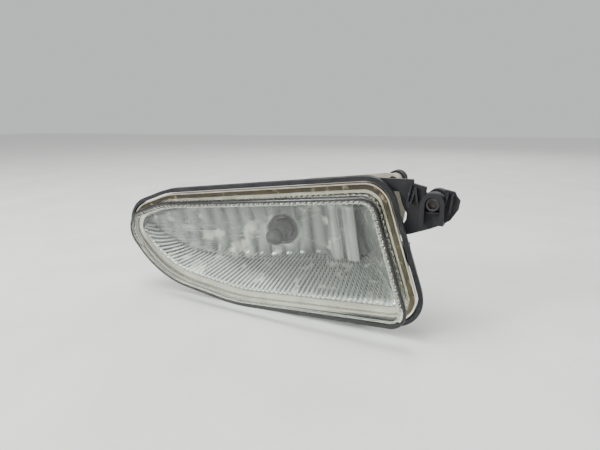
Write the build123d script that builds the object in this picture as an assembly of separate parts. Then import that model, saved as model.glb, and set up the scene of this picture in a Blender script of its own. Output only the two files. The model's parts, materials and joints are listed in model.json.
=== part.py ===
from build123d import *
import os
from math import atan2, cos, pi, radians, sin, sqrt, tan

# Wing-shaped car fog lamp in its carrier, as separate pieces. Units are millimetres. The lamp frame
# has its origin on the bulb axis where that axis crosses the flange plane, +X to the outer end, +Y to
# the rear along the optical axis and +Z up. The flange plane is swept back towards the slender tip.
# Flange coordinates are u along the flange, d behind it and v up.

# Shape of the lens outline: tangent arcs (u, v, radius), anticlockwise seen from the front, for a
# lens 202 mm long. OUTLINE_SIZE takes them to the length that is asked for.
LENS_LENGTH = 202.0       # outline length along the flange
OUTLINE_SIZE = LENS_LENGTH / 202.0
TIP = (-99.1, -1.2, 13.5)
LOWER_LEFT = (-53.7, 33.0, 70.0)
BELLY = (-19.1, 71.0, 112.1)
BOTTOM_RIGHT = (80.0, -24.7, 9.6)
TOP_RIGHT = (62.1, 25.6, 10.7)
UPPER_LEFT = (-69.1, -37.1, 57.5)
CORNERS = (TIP, LOWER_LEFT, BELLY, BOTTOM_RIGHT, TOP_RIGHT, UPPER_LEFT)

FLANGE_SWEEP = 12.42      # flange plane against the optical axis, degrees
FACE_SWEEP = 2.9          # lens face against the flange plane, degrees
LENS_DEPTH = 15.3         # flange plane to lens face, on the bulb axis

# Lens and its bond.
LENS_WALL = 2.6
EDGE_BAND = 0.8           # black band round the front corner of the lens
EDGE_BAND_DEPTH = 3.0
SKIRT_FLARE = 2.4         # outward growth of the skirt from SKIRT_START to the flange
SKIRT_START = LENS_DEPTH + 5.0
FOOT_DEPTH = 2.0
SEALANT_WIDTH = 2.6
SEALANT_DEPTH = 2.2
BOND_SHIFT = 0.8          # bond channel is set out and up by this much

# Reflector moulding.
CHANNEL_WALL = 0.8
CHANNEL_PROUD = 0.6
FLANGE_THICK = 3.0
PAN_INSET = 3.8
PAN_WALL = 3.0
PAN_DEPTH = 60.0          # depth at which the pan would close to PAN_END_SCALE
PAN_END_SCALE = 0.62
BACK_WALL_Y = 34.0        # inside of the rear wall, behind the flange plane along the optical axis
COLLAR_WALL = 2.6
COLLAR_LENGTH = 12.0
BULB_BORE = 10.6          # radius of the bulb hole
LUG_REACH = 1.8
LUG_CLEAR = 0.5
COLLAR_RADIUS = BULB_BORE + LUG_REACH + LUG_CLEAR + COLLAR_WALL

# Carrier ring.
RING_GAP = 1.1
RING_WALL = 2.2
RING_SHIFT = 0.5          # extra set-out of the ring's outside
RING_FRONT = -1.4
RING_BACK = 5.6

# Tilt pivot, on a line parallel to the flange.
PIVOT_D = 10.0
PIVOT_V = 0.0
PIN_RADIUS = 2.5
PIN_BITE = 12.0           # length of a pivot pin
PIN_CLEAR = 0.06
BUSH_WALL = 1.2
BUSH_HOLE = PIN_RADIUS + PIN_CLEAR + BUSH_WALL
EAR_THICK = 5.5
EAR_WALL = 2.24
EAR_HALF = BUSH_HOLE + EAR_WALL
EAR_FOOT = 4.0            # thickness of the ear's root plate
EAR_ROOT_LEFT = 6.6       # root plate's reach past the end of the lens
EAR_ROOT_RIGHT = 7.0
EAR_GAP = 0.8
BLOCK_LENGTH = 20.0
BLOCK_HALF = PIN_RADIUS + 2.5
TILT_LIMIT = 2.5          # lamp tilt each way, degrees
TILT_ROOM = 0.5
LEFT_BLOCK_INSET = 0.8    # pivot block inside the left end of the lens
RIGHT_BLOCK_INSET = 1.2

# Bracket and aim adjuster.
SCREW_OUT = 18.95         # screw axis beyond the right end of the lens
SCREW_DROP = 4.2          # screw axis below the highest point of the lens
PLATE_D = 4.4
PLATE_THICK = 3.0
# Corners of the bracket plate, of its slot and ends of its ribs, from the screw axis.
PLATE_EDGE = [
    (-38.3, 5.9), (-38.3, 12.1), (-11.8, 12.3), (-11.6, 10.1), (-4.5, 8.5), (-4.9, 4.4), (5.1, 4.3),
    (5.2, 7.9), (10.2, 6.9), (11.6, 4.3), (13.3, 2.3), (12.7, -2.6), (9.1, -8.5), (4.1, -11.7),
    (-1.1, -14.2), (-11.9, -18.3), (-20.9, -20.5), (-30.9, -8.1),
]
SLOT_EDGE = [
    (-29.9, 5.3), (-19.2, 5.3), (-17.2, -1.1), (-15.6, -4.6), (-14.3, -6.6), (-14.5, -10.3),
    (-15.6, -12.1), (-16.1, -17.5), (-21.9, -17.5),
]
PLATE_RIBS = [
    ((-12.2, 9.4), (-13.9, 0.4)), ((-9.8, 8.3), (-12.1, -0.7)), ((-9.8, 8.3), (-8.5, 0.3)),
    ((7.1, 6.5), (5.7, -6.6)), ((9.7, 5.7), (8.7, -4.6)),
]
RIB_WIDTH = 1.1
RIB_PROUD = 2.4
BOSS_WALL = 2.3
BOSS_PROUD = 5.0
BOSS_LEG = 11.0
LEDGE_DROP = 4.2
BUSH_FLANGE = 0.8
SCREW_RADIUS = 2.5
SCREW_CLEAR = 0.05
ADJUSTER_BUSH_WALL = 1.15
BUSH_OUTER = SCREW_RADIUS + SCREW_CLEAR + ADJUSTER_BUSH_WALL
SCREW_REACH = 30.0        # end of the screw behind the flange plane
HEAD_LIP = 1.1
HEAD_CLEAR = 0.4
HEAD_RADIUS = SCREW_RADIUS + HEAD_LIP
BOSS_RADIUS = HEAD_RADIUS + HEAD_CLEAR + BOSS_WALL
HEAD_THICK = 3.0
HEX_ACROSS_FLATS = 4.6
HEX_DEPTH = 2.2
RETAINER_WIDTH = 3.1
RETAINER_RADIUS = SCREW_RADIUS + RETAINER_WIDTH
RETAINER_THICK = 1.0
NUT_WALL = 2.0
NUT_RADIUS = SCREW_RADIUS + NUT_WALL
NUT_LENGTH = 1.5 * NUT_RADIUS
NUT_D = 18.0
NUT_CLEAR = 0.08
SOCKET_LENGTH = 6.0
SOCKET_WALL = 2.0
ARM_HALF = 5.5
ARM_THICK = 4.0
ARM_STOP = 14.0           # end of the arm short of the screw axis, where the ball socket's tongue starts
TONGUE_HALF = 3.5
ARM_ROOT = (-34.0, -22.0) # arm's root on the flange, from the right end of the lens
ARM_START = -30.0
ARM_LOW = 8.0             # underside of the arm's root above the bulb axis
# Corners of the gusset under the arm: from the right end of the lens, and above ARM_LOW.
GUSSET_FOOT = ((-19.0, 0.0), (-1.0, 1.0))
GUSSET_HEAD = (-19.0, 1.4)

# Rear legs of the carrier.
LEG_U = (-34.0, 58.0)
LEG_HALF = 6.0
LEG_THICK = 3.0
FOOT_D = 46.0
FOOT_HALF = 8.0
FOOT_TOP = 18.6           # height of the foot plate above the rest plane
FOOT_THICK = 4.0
MOUNT_HOLE = 2.75
MOUNT_HEIGHT = 13.0       # hole centre above the rest plane

# Bulb, along the optical axis.
CAPSULE_RADIUS = 5.4
CAPSULE_WALL = 0.8
CAPSULE_LENGTH = 30.0
TIP_COAT = 0.35
TIP_COAT_LENGTH = 6.5
COLLAR_TUBE_WALL = 2.2
COLLAR_TUBE = CAPSULE_RADIUS + COLLAR_TUBE_WALL
COLLAR_TUBE_LENGTH = 9.0
PINCH_LENGTH = 6.0
FILAMENT_RADIUS = 0.7
FILAMENT_LENGTH = 5.0
FILAMENT_GAP = 4.0        # dark coating to the front of the filament
LEAD_RADIUS = 0.3
LEAD_OUT = 2.4            # long lead's distance from the bulb axis
LEAD_AHEAD = 0.9          # cross wire ahead of the filament
BULB_TIP_Y = 7.2          # bulb tip behind the flange origin along the optical axis
BASE_LIP = 3.4
BASE_RADIUS = BULB_BORE + BASE_LIP
SEAL_INSET = 1.0
BASE_THICK = 4.0
BASE_CLEAR = 0.4          # plug of the bulb base inside the bulb hole
SEAL_THICK = 1.6
SEAL_GAP = 0.05
LUG_ROOT = 2.0            # length of a lug inside the plug
LUG_WIDTH = 5.0
LUG_THICK = 2.0
LUG_BACK = 4.0            # lugs to the collar's rear face
TWIST = 40.0              # bayonet turn from locked to free, degrees
SOCKET_SIZE = (17.0, 12.0)
SOCKET_DEPTH = 16.0
SOCKET_SKIN = 1.6
TERMINAL = (2.8, 9.0, 0.8)
TERMINAL_PITCH = 6.0

# Rear web and vent.
WEB_D = 31.0
WEB_THICK = 3.0
# Corners of the web, from the right end and the top of the lens.
WEB_EDGE = [
    (-69.0, -26.3), (-8.0, -26.3), (-6.0, 2.7), (-9.5, 7.3), (-16.0, 7.7), (-45.0, 4.0),
    (-69.0, 1.4),
]
VENT_OUT = -10.6
VENT_RISE = 3.1
VENT_RADIUS = 4.4
VENT_WALL = 1.4
VENT_LENGTH = 12.0
CAP_WALL = 1.4
CAP_DEPTH = 6.0

BIG = 400.0
OVER = 1.0                # how far a cutting shape runs past what it cuts


def external_tangent(a, b):
    """Touching points of the outer tangent from round corner a to round corner b."""
    dx, dz, dr = b[0] - a[0], b[1] - a[1], b[2] - a[2]
    length = sqrt(dx * dx + dz * dz)
    angle = atan2(dz, dx) - pi / 2 - atan2(dr, sqrt(length * length - dr * dr))
    nx, nz = cos(angle), sin(angle)
    return (a[0] + nx * a[2], a[1] + nz * a[2]), (b[0] + nx * b[2], b[1] + nz * b[2])


def outline(grow, depth, scale=1.0, shift=0.0):
    """Lens outline grown by grow, on a plane depth behind the flange, following the optical axis."""
    slide = -tan(radians(FLANGE_SWEEP)) * depth + shift
    full = scale * OUTLINE_SIZE
    corners = [(u * full + slide, v * full + shift, r * full + grow) for u, v, r in CORNERS]
    count = len(corners)
    tangents = [external_tangent(corners[i], corners[(i + 1) % count]) for i in range(count)]
    edges = []
    for i, (u, v, r) in enumerate(corners):
        arrive = tangents[i - 1][1]
        leave = tangents[i][0]
        start = atan2(arrive[1] - v, arrive[0] - u)
        turn = (atan2(leave[1] - v, leave[0] - u) - start) % (2 * pi)
        middle = (u + r * cos(start + turn / 2), v + r * sin(start + turn / 2))
        edges.append(ThreePointArc(arrive, middle, leave))
        edges.append(Line(leave, tangents[i][1]))
    face = make_face(edges)
    return Plane(origin=(0, depth, 0), x_dir=(1, 0, 0), z_dir=(0, -1, 0)) * face


def prism(grow, front, back, grow_back=None, scale_back=1.0, shift=0.0):
    """Solid between the grown outline at front and the one at back."""
    grow_back = grow if grow_back is None else grow_back
    return loft([outline(grow, front, 1.0, shift), outline(grow_back, back, scale_back, shift)], ruled=True)


def block(u, d, v):
    """Box from pairs of limits in flange coordinates."""
    size = (u[1] - u[0], d[1] - d[0], v[1] - v[0])
    centre = ((u[0] + u[1]) / 2, (d[0] + d[1]) / 2, (v[0] + v[1]) / 2)
    return Pos(*centre) * Box(*size)


def rod(radius, front, back, u=0.0, v=0.0):
    """Cylinder from front to back."""
    return Pos(u, (front + back) / 2, v) * Rot(90, 0, 0) * Cylinder(radius, back - front)


def cross_rod(radius, start, end, d=PIVOT_D, v=PIVOT_V):
    """Cylinder along u."""
    return Pos((start + end) / 2, d, v) * Rot(0, 90, 0) * Cylinder(radius, end - start)


def plate(points, front, back):
    """Flat plate parallel to the flange with the given (u, v) corners."""
    face = make_face(Polyline(*points, close=True))
    base = Plane(origin=(0, front, 0), x_dir=(1, 0, 0), z_dir=(0, -1, 0)) * face
    return extrude(base, amount=back - front, dir=(0, 1, 0))


def behind_face(offset):
    """Everything behind the lens face, moved back by offset."""
    half = Pos(0, BIG / 2, 0) * Box(BIG * 2, BIG, BIG * 2)
    return Pos(0, -LENS_DEPTH + offset, 0) * Rot(0, 0, -FACE_SWEEP) * half


def ahead_of_rear(offset):
    """Everything ahead of the reflector's rear wall, which is square to the optical axis."""
    half = Pos(0, BACK_WALL_Y + offset - BIG / 2, 0) * Box(BIG * 2, BIG, BIG * 2)
    return Rot(0, 0, FLANGE_SWEEP) * half


def on_bulb_axis(shape):
    """Turns a shape built along the optical axis into flange coordinates."""
    return Rot(0, 0, FLANGE_SWEEP) * shape


def skirt_grow(depth):
    """Outward growth of the outside of the skirt at a depth ahead of the flange."""
    return -EDGE_BAND + SKIRT_FLARE * (1.0 + depth / SKIRT_START)


FACE_START = -LENS_DEPTH - 12.0   # ahead of every point of the tilted face
FOOT_GROW = skirt_grow(0.0)
SEALANT_GROW = FOOT_GROW + SEALANT_WIDTH - BOND_SHIFT / 2
CHANNEL_GROW = SEALANT_GROW + CHANNEL_WALL
RING_INNER = CHANNEL_GROW + RING_GAP
RING_OUTER = RING_INNER + RING_WALL
REST_V = (BELLY[1] - BELLY[2]) * OUTLINE_SIZE - RING_OUTER + BOND_SHIFT + RING_SHIFT
FLANGE_BACK = FOOT_DEPTH + FLANGE_THICK
END_RIGHT = (TOP_RIGHT[0] + BOTTOM_RIGHT[0] + TOP_RIGHT[2] + BOTTOM_RIGHT[2]) / 2 * OUTLINE_SIZE
END_LEFT = (TIP[0] - TIP[2]) * OUTLINE_SIZE
LENS_TOP = (TOP_RIGHT[1] + TOP_RIGHT[2]) * OUTLINE_SIZE
SCREW_V = LENS_TOP - SCREW_DROP
SCREW_U = END_RIGHT + SCREW_OUT
COLLAR_BACK = BACK_WALL_Y + COLLAR_LENGTH
LUG_FRONT = COLLAR_BACK - LUG_BACK - LUG_THICK
CAPSULE_END = BULB_TIP_Y + CAPSULE_LENGTH
FILAMENT_Y = BULB_TIP_Y + TIP_COAT_LENGTH + FILAMENT_GAP
DISC_FRONT = COLLAR_BACK + SEAL_GAP + SEAL_THICK
SHROUD_FRONT = DISC_FRONT + BASE_THICK
SOCKET_OUTER = NUT_RADIUS + SOCKET_WALL
VENT_U = END_RIGHT + VENT_OUT
VENT_V = LENS_TOP + VENT_RISE


def make_lens():
    """Clear cup: face, flared skirt and bonded foot."""
    outside = prism(skirt_grow(FACE_START), FACE_START, 0.0, FOOT_GROW) & behind_face(0.0)
    foot = prism(FOOT_GROW, 0.0, FOOT_DEPTH)
    start = skirt_grow(FACE_START) - LENS_WALL
    inside = prism(start, FACE_START, FOOT_DEPTH, FOOT_GROW - LENS_WALL) & behind_face(LENS_WALL)
    return outside + foot - inside


def make_edge_band():
    """Black band round the front corner of the lens."""
    start = skirt_grow(FACE_START)
    outside = prism(start + EDGE_BAND, FACE_START, 0.0, FOOT_GROW + EDGE_BAND)
    inside = prism(start, FACE_START, 0.0, FOOT_GROW)
    return (outside - inside) & (behind_face(0.0) - behind_face(EDGE_BAND_DEPTH))


def make_sealant():
    """Bead that fills the channel between the lens foot and the channel wall."""
    front = FOOT_DEPTH - SEALANT_DEPTH
    outside = prism(SEALANT_GROW, front, FOOT_DEPTH, shift=BOND_SHIFT)
    foot = prism(FOOT_GROW, 0.0, FOOT_DEPTH)
    skirt = prism(skirt_grow(FACE_START), FACE_START, 0.0, FOOT_GROW)
    return outside - foot - skirt


def pan_taper():
    """Inside of the reflector pan, without its rear wall."""
    return prism(-PAN_INSET, FOOT_DEPTH, PAN_DEPTH, 0.0, PAN_END_SCALE)


def make_reflector():
    """Moulded body: bond channel, flange, pan, rear collar, pivot blocks, aim arm and rear web."""
    front = FOOT_DEPTH - SEALANT_DEPTH - CHANNEL_PROUD
    channel = prism(CHANNEL_GROW, front, FLANGE_BACK, shift=BOND_SHIFT)
    channel -= prism(SEALANT_GROW, front, FOOT_DEPTH, shift=BOND_SHIFT)
    pan = prism(PAN_WALL - PAN_INSET, FOOT_DEPTH, PAN_DEPTH, PAN_WALL, PAN_END_SCALE)
    collar = on_bulb_axis(rod(COLLAR_RADIUS, BACK_WALL_Y + PAN_WALL / 2, COLLAR_BACK))
    body = channel + (pan & ahead_of_rear(PAN_WALL)) + rear_web() + pivot_blocks() + aim_arm()
    body = body - (pan_taper() & ahead_of_rear(0.0)) + collar
    return body - bulb_seat() - pivot_pin(True) - pivot_pin(False)


def bulb_seat():
    """Bulb hole with its bayonet slots and the groove that the lugs turn in."""
    reach = LUG_REACH + LUG_CLEAR
    seat = rod(BULB_BORE, BACK_WALL_Y - PAN_WALL, COLLAR_BACK + OVER)
    slot = Box(LUG_WIDTH + 2 * LUG_CLEAR, COLLAR_LENGTH, 2 * reach)
    for i in range(3):
        place = Pos(0, COLLAR_BACK + COLLAR_LENGTH / 2 - LUG_BACK, BULB_BORE)
        seat += Rot(0, 120 * i + TWIST, 0) * place * slot
    seat += rod(BULB_BORE + reach, LUG_FRONT - LUG_CLEAR, COLLAR_BACK - LUG_BACK + LUG_CLEAR)
    return on_bulb_axis(seat)


def rear_web():
    """Upright web on the pan's roof that carries the vent stub."""
    end = WEB_D + VENT_LENGTH
    web = plate([(END_RIGHT + u, LENS_TOP + v) for u, v in WEB_EDGE], WEB_D, WEB_D + WEB_THICK)
    web += rod(VENT_RADIUS, WEB_D - VENT_WALL, end, VENT_U, VENT_V)
    bore = rod(VENT_RADIUS - VENT_WALL, WEB_D - 2 * VENT_WALL, end + OVER, VENT_U, VENT_V)
    return web - bore - pan_taper()


def pivot_limits(left):
    """Inner and outer u of the pivot block and of the ear beside it."""
    side = -1.0 if left else 1.0
    outer = END_LEFT + LEFT_BLOCK_INSET if left else END_RIGHT - RIGHT_BLOCK_INSET
    near = outer + side * EAR_GAP
    return outer - side * BLOCK_LENGTH, outer, near, near + side * EAR_THICK


def pivot_pin(left):
    """Steel pin moulded into the pivot block, running in the ear's bush."""
    outer_face = pivot_limits(left)[3]
    side = -1.0 if left else 1.0
    end = outer_face + side * PIN_CLEAR * 10
    return cross_rod(PIN_RADIUS, min(end, end - side * PIN_BITE), max(end, end - side * PIN_BITE))


def pivot_blocks():
    """Blocks behind the flange that hold the two pivot pins."""
    depth = (FOOT_DEPTH + OVER, PIVOT_D + BLOCK_HALF)
    blocks = None
    for left in (True, False):
        inner, outer = pivot_limits(left)[:2]
        high = (PIVOT_V - BLOCK_HALF, PIVOT_V + BLOCK_HALF)
        one = block((min(inner, outer), max(inner, outer)), depth, high)
        blocks = one if blocks is None else blocks + one
    return blocks


def aim_arm():
    """Arm from the pan's outer wall towards the adjuster's ball socket, with its gusset."""
    low = SCREW_V - ARM_HALF
    high = SCREW_V + ARM_HALF
    front = NUT_D - ARM_THICK / 2
    back = NUT_D + ARM_THICK / 2
    root = (END_RIGHT + ARM_ROOT[0], END_RIGHT + ARM_ROOT[1])
    arm = block((END_RIGHT + ARM_START, SCREW_U - ARM_STOP), (front, back), (low, high))
    arm += block(root, (FOOT_DEPTH + OVER, back), (ARM_LOW, high))
    gusset = [(END_RIGHT + u, ARM_LOW + v) for u, v in GUSSET_FOOT]
    gusset += [(END_RIGHT + u, low + OVER) for u in reversed(GUSSET_HEAD)]
    return arm + plate(gusset, front, NUT_D)


def from_screw(points):
    """Points given from the screw axis, in flange coordinates."""
    return [(SCREW_U + u, SCREW_V + v) for u, v in points]


def rib(start, end, front, back):
    """Straight rib of RIB_WIDTH between two points given from the screw axis."""
    run, rise = end[0] - start[0], end[1] - start[1]
    length = sqrt(run * run + rise * rise)
    centre = (SCREW_U + (start[0] + end[0]) / 2, (front + back) / 2, SCREW_V + (start[1] + end[1]) / 2)
    turn = atan2(rise, run) * 180 / pi
    return Pos(*centre) * Rot(0, -turn, 0) * Box(length, back - front, RIB_WIDTH)


def bracket():
    """Bracket plate with its slot, ribs, arch boss and ledge."""
    back = PLATE_D + PLATE_THICK
    body = plate(from_screw(PLATE_EDGE), PLATE_D, back)
    body -= plate(from_screw(SLOT_EDGE), PLATE_D - OVER, back + OVER)
    rib_depth = (PLATE_D - RIB_PROUD, PLATE_D + OVER)
    for start, end in PLATE_RIBS:
        body += rib(start, end, *rib_depth)
    front = PLATE_D - BOSS_PROUD
    inner = BOSS_RADIUS - BOSS_WALL
    foot = SCREW_V - BOSS_LEG
    body += rod(BOSS_RADIUS, front, back, SCREW_U, SCREW_V)
    body += block((SCREW_U - BOSS_RADIUS, SCREW_U + BOSS_RADIUS), (front, back), (foot, SCREW_V))
    body -= rod(inner, front - OVER, PLATE_D, SCREW_U, SCREW_V)
    body -= block((SCREW_U - inner, SCREW_U + inner), (front - OVER, PLATE_D), (foot - OVER, SCREW_V))
    ledge = (SCREW_V - LEDGE_DROP - RIB_WIDTH, SCREW_V - LEDGE_DROP)
    body += block((SCREW_U - inner - OVER, SCREW_U + inner + OVER), rib_depth, ledge)
    return body - rod(BUSH_OUTER, PLATE_D - OVER, back + OVER, SCREW_U, SCREW_V)


def ring_floor(u):
    """Height of the ring's underside at u, along the straight run to the lower right corner."""
    size = OUTLINE_SIZE
    corners = [(a * size, b * size, r * size + RING_OUTER) for a, b, r in (BELLY, BOTTOM_RIGHT)]
    low, high = external_tangent(*corners)
    share = (u - BOND_SHIFT - RING_SHIFT - low[0]) / (high[0] - low[0])
    return low[1] + (high[1] - low[1]) * max(share, 0.0) + BOND_SHIFT + RING_SHIFT


def legs():
    """Two rear legs, each with a foot plate bored for a mounting screw."""
    back = FOOT_D + FOOT_THICK
    body = None
    for u in LEG_U:
        low = ring_floor(u + LEG_HALF / 2)
        leg = block((u - LEG_HALF, u + LEG_HALF), (RING_FRONT + 2 * OVER, back), (low, low + LEG_THICK))
        foot = block((u - FOOT_HALF, u + FOOT_HALF), (FOOT_D, back), (REST_V, REST_V + FOOT_TOP))
        foot -= rod(MOUNT_HOLE, FOOT_D - OVER, back + OVER, u, REST_V + MOUNT_HEIGHT)
        body = leg + foot if body is None else body + leg + foot
    return body


def ears():
    """Ears behind the ring that carry the pivot bushes."""
    body = None
    for left in (True, False):
        near, far = pivot_limits(left)[2:]
        reach = END_LEFT - EAR_ROOT_LEFT if left else END_RIGHT + EAR_ROOT_RIGHT
        span = (min(near, far), max(near, far))
        high = (PIVOT_V - EAR_HALF, PIVOT_V + EAR_HALF)
        ear = block(span, (RING_BACK - OVER, PIVOT_D + EAR_HALF), high)
        root = (RING_BACK + EAR_FOOT * 0.6 - EAR_FOOT, RING_BACK + EAR_FOOT * 0.6)
        ear += block((min(near, reach), max(near, reach)), root, high)
        ear -= cross_rod(BUSH_HOLE, span[0] - OVER, span[1] + OVER)
        body = ear if body is None else body + ear
    return body


def make_carrier_frame():
    """Black carrier: ring, bracket, pivot ears and rear legs."""
    ring = prism(RING_OUTER, RING_FRONT, RING_BACK, shift=BOND_SHIFT + RING_SHIFT)
    swing = -REST_V * tan(radians(TILT_LIMIT)) + TILT_ROOM
    return (
        ring - lamp_room(RING_BACK + OVER)
        + (bracket() - lamp_room(PLATE_D + PLATE_THICK + OVER))
        + (legs() - lamp_room(FLANGE_BACK + swing))
        + (ears() - lamp_room(FLANGE_BACK + TILT_ROOM))
    )


def lamp_room(back):
    """Space inside the ring that the tilting lamp needs, down to back."""
    return prism(RING_INNER, RING_FRONT - OVER, back, shift=BOND_SHIFT)


def make_pivot_bush(left):
    """Nylon bush pressed into an ear."""
    near, far = pivot_limits(left)[2:]
    start, end = min(near, far), max(near, far)
    return cross_rod(BUSH_HOLE, start, end) - cross_rod(PIN_RADIUS + PIN_CLEAR, start - OVER, end + OVER)


def make_adjuster_bush():
    """Flanged bush in the bracket plate."""
    body = rod(BUSH_OUTER, PLATE_D, PLATE_D + PLATE_THICK, SCREW_U, SCREW_V)
    flange = BOSS_RADIUS - BOSS_WALL - SCREW_CLEAR * 2
    body += rod(flange, PLATE_D - BUSH_FLANGE, PLATE_D, SCREW_U, SCREW_V)
    return body - rod(SCREW_RADIUS + SCREW_CLEAR, 0, SCREW_REACH, SCREW_U, SCREW_V)


def make_adjuster_screw():
    """Aim screw with a round head and a hexagon socket."""
    seat = PLATE_D - BUSH_FLANGE - SCREW_CLEAR
    body = rod(HEAD_RADIUS, seat - HEAD_THICK, seat, SCREW_U, SCREW_V)
    body += rod(SCREW_RADIUS, seat - OVER / 2, SCREW_REACH, SCREW_U, SCREW_V)
    socket = RegularPolygon(HEX_ACROSS_FLATS / 2, 6, major_radius=False)
    at = Plane(origin=(SCREW_U, seat - HEAD_THICK, SCREW_V), x_dir=(1, 0, 0), z_dir=(0, -1, 0))
    return body - extrude(at * socket, amount=HEX_DEPTH, dir=(0, 1, 0))


def make_screw_retainer():
    """Push-on washer that keeps the screw in its bush."""
    front = PLATE_D + PLATE_THICK + SCREW_CLEAR
    back = front + RETAINER_THICK
    body = rod(RETAINER_RADIUS, front, back, SCREW_U, SCREW_V)
    return body - rod(SCREW_RADIUS, front - OVER, back + OVER, SCREW_U, SCREW_V)


def make_ball_nut():
    """Ball-shaped nut on the aim screw."""
    ball = Pos(SCREW_U, NUT_D, SCREW_V) * Sphere(NUT_RADIUS)
    half = NUT_LENGTH / 2
    ball &= rod(NUT_RADIUS + OVER, NUT_D - half, NUT_D + half, SCREW_U, SCREW_V)
    return ball - rod(SCREW_RADIUS + SCREW_CLEAR, 0, SCREW_REACH + OVER, SCREW_U, SCREW_V)


def make_ball_socket():
    """Nylon socket with a tongue fixed to the arm. The nut slides up and down in it as the lamp tilts."""
    half = SOCKET_LENGTH / 2
    slide = (NUT_D - PIVOT_D) * tan(radians(TILT_LIMIT))
    radius = NUT_RADIUS + NUT_CLEAR
    body = rod(SOCKET_OUTER, NUT_D - half, NUT_D + half, SCREW_U, SCREW_V)
    high = (SCREW_V - TONGUE_HALF, SCREW_V + TONGUE_HALF)
    depth = (NUT_D - ARM_THICK / 2, NUT_D + ARM_THICK / 2)
    body += block((SCREW_U - ARM_STOP, SCREW_U - SOCKET_OUTER + OVER), depth, high)
    track = Cylinder(radius, 2 * slide)
    for side in (-1, 1):
        track += Pos(0, 0, side * slide) * Sphere(radius)
    return body - Pos(SCREW_U, NUT_D, SCREW_V) * track


def make_vent_cap():
    """Rubber cap over the vent stub."""
    end = WEB_D + VENT_LENGTH
    body = rod(VENT_RADIUS + CAP_WALL, end - CAP_DEPTH, end + CAP_WALL, VENT_U, VENT_V)
    return body - rod(VENT_RADIUS, end - CAP_DEPTH - OVER, end, VENT_U, VENT_V)


def capsule_shape(radius, tip, end):
    """Round-ended bar on the optical axis."""
    return rod(radius, tip + radius, end) + Pos(0, tip + radius, 0) * Sphere(radius)


def make_bulb_capsule():
    """Glass tube of the bulb with a round tip."""
    bore = CAPSULE_RADIUS - CAPSULE_WALL
    inner = capsule_shape(bore, BULB_TIP_Y + CAPSULE_WALL, CAPSULE_END - PINCH_LENGTH)
    return on_bulb_axis(capsule_shape(CAPSULE_RADIUS, BULB_TIP_Y, CAPSULE_END) - inner)


def make_bulb_tip_coat():
    """Dark coating on the round tip of the bulb."""
    end = BULB_TIP_Y + TIP_COAT_LENGTH
    coat = capsule_shape(CAPSULE_RADIUS + TIP_COAT, BULB_TIP_Y - TIP_COAT, end)
    return on_bulb_axis(coat - capsule_shape(CAPSULE_RADIUS, BULB_TIP_Y, CAPSULE_END))


def make_filament():
    """Coiled filament, as its envelope."""
    return on_bulb_axis(rod(FILAMENT_RADIUS, FILAMENT_Y, FILAMENT_Y + FILAMENT_LENGTH))


def make_filament_leads():
    """Two support wires from the pinch to the ends of the filament."""
    start = CAPSULE_END - PINCH_LENGTH
    turn = FILAMENT_Y - LEAD_AHEAD
    long_lead = rod(LEAD_RADIUS, turn - LEAD_RADIUS, start, LEAD_OUT)
    reach = LEAD_OUT + LEAD_RADIUS
    cross = Pos(reach / 2, turn, 0) * Box(reach, 2 * LEAD_RADIUS, 2 * LEAD_RADIUS)
    stub = rod(LEAD_RADIUS, turn, FILAMENT_Y)
    short = rod(LEAD_RADIUS, FILAMENT_Y + FILAMENT_LENGTH, start)
    return on_bulb_axis(Compound([long_lead + cross + stub, short]))


def make_bulb_collar():
    """Metal tube that clamps the capsule to the base."""
    front = CAPSULE_END - COLLAR_TUBE_LENGTH
    tube = rod(COLLAR_TUBE, front, CAPSULE_END)
    return on_bulb_axis(tube - rod(CAPSULE_RADIUS, front - OVER, CAPSULE_END + OVER))


def make_bulb_base():
    """Plastic base: plug with bayonet lugs, disc and connector shroud."""
    body = rod(BULB_BORE - BASE_CLEAR, CAPSULE_END, DISC_FRONT + OVER)
    body += rod(BASE_RADIUS, DISC_FRONT, SHROUD_FRONT)
    lug = Box(LUG_WIDTH, LUG_THICK, LUG_REACH + LUG_ROOT)
    for i in range(3):
        place = Pos(0, LUG_FRONT + LUG_THICK / 2, BULB_BORE + (LUG_REACH - LUG_ROOT) / 2)
        body += Rot(0, 120 * i, 0) * place * lug
    wide, high = SOCKET_SIZE
    skin = 2 * SOCKET_SKIN
    shroud = Box(wide, SOCKET_DEPTH + OVER, high)
    body += Pos(0, SHROUD_FRONT + (SOCKET_DEPTH - OVER) / 2, 0) * shroud
    mouth = Box(wide - skin, SOCKET_DEPTH, high - skin)
    body -= Pos(0, SHROUD_FRONT + SOCKET_DEPTH / 2 + SOCKET_SKIN, 0) * mouth
    return on_bulb_axis(body)


def make_bulb_terminals():
    """Two blades in the connector shroud."""
    start = SHROUD_FRONT + SOCKET_SKIN
    blade = Box(*TERMINAL)
    pair = [Pos(side * TERMINAL_PITCH / 2, start + TERMINAL[1] / 2, 0) * blade for side in (-1, 1)]
    return on_bulb_axis(Compound(pair))


def make_bulb_seal():
    """Flat rubber ring between the reflector's collar and the bulb base."""
    front = COLLAR_BACK + SEAL_GAP
    back = front + SEAL_THICK
    ring = rod(BASE_RADIUS - SEAL_INSET, front, back)
    return on_bulb_axis(ring - rod(BULB_BORE - BASE_CLEAR, front - OVER, back + OVER))


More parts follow.
